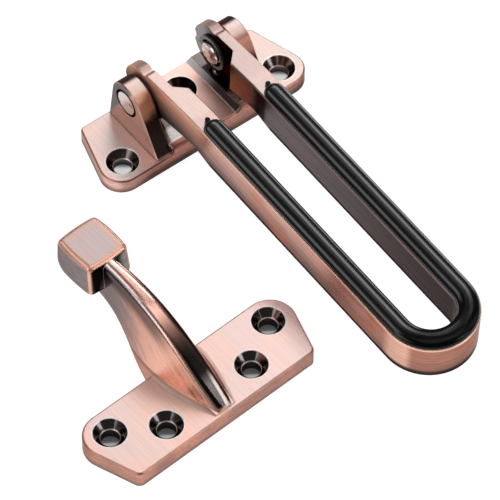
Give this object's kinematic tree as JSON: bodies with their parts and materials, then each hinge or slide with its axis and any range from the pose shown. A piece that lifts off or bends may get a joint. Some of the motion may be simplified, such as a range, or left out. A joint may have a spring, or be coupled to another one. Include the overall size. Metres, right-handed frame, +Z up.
{
  "type": "hasp latch",
  "caption": "Copper door hasp latch: a hinge plate with a U-shaped swing bar on pivot pins, a black bumper bead along the bar, and a separate keeper with a curved horn and square knob",
  "frame": {"origin": "Midway between the two outer screw holes of the hinge plate, on its mounting plane", "axes": "+X along the hinge plate and the pivot pins, -Y along the laid-out bar, +Z up off the mounting plane"},
  "size_m": [0.1208, 0.1245, 0.0266],
  "materials": {
    "antique_copper": "brushed antique red copper plating on a zinc casting",
    "black_bead": "smooth moulded, glossy black",
    "pin_copper": "turned, polished copper plating",
    "blackened_steel": "blackened spring steel",
    "black_nylon": "moulded black nylon",
    "ball_steel": "polished bearing steel",
    "spring_steel": "bright drawn steel"
  },
  "bodies": {
    "base": {"hinge_plate": "antique_copper", "keeper": "antique_copper", "pivot_pin_left": "pin_copper", "pivot_pin_right": "pin_copper", "pin_clip_left": "blackened_steel", "pin_clip_right": "blackened_steel", "thrust_washer_left": "black_nylon", "thrust_washer_right": "black_nylon", "detent_spring_left": "spring_steel", "detent_spring_right": "spring_steel", "detent_plug_left": "spring_steel", "detent_plug_right": "spring_steel"},
    "bar": {"swing_bar": "antique_copper", "bumper_strip": "black_bead"},
    "ball_left": {"detent_ball_left": "ball_steel"},
    "ball_right": {"detent_ball_right": "ball_steel"}
  },
  "joints": [
    {"name": "bar_swing", "type": "hinge", "parent": "base", "child": "bar", "pos_m": [0, 0.00765, 0.0158], "axis": [-1, 0, 0], "range_deg": [0, 180]},
    {"name": "ball_left_slide", "type": "slide", "parent": "base", "child": "ball_left", "axis": [0, 0, 1], "range_m": [0, 0.0007], "deforming": ["detent_spring_left"]},
    {"name": "ball_right_slide", "type": "slide", "parent": "base", "child": "ball_right", "axis": [0, 0, 1], "range_m": [0, 0.0007], "deforming": ["detent_spring_right"]}
  ]
}
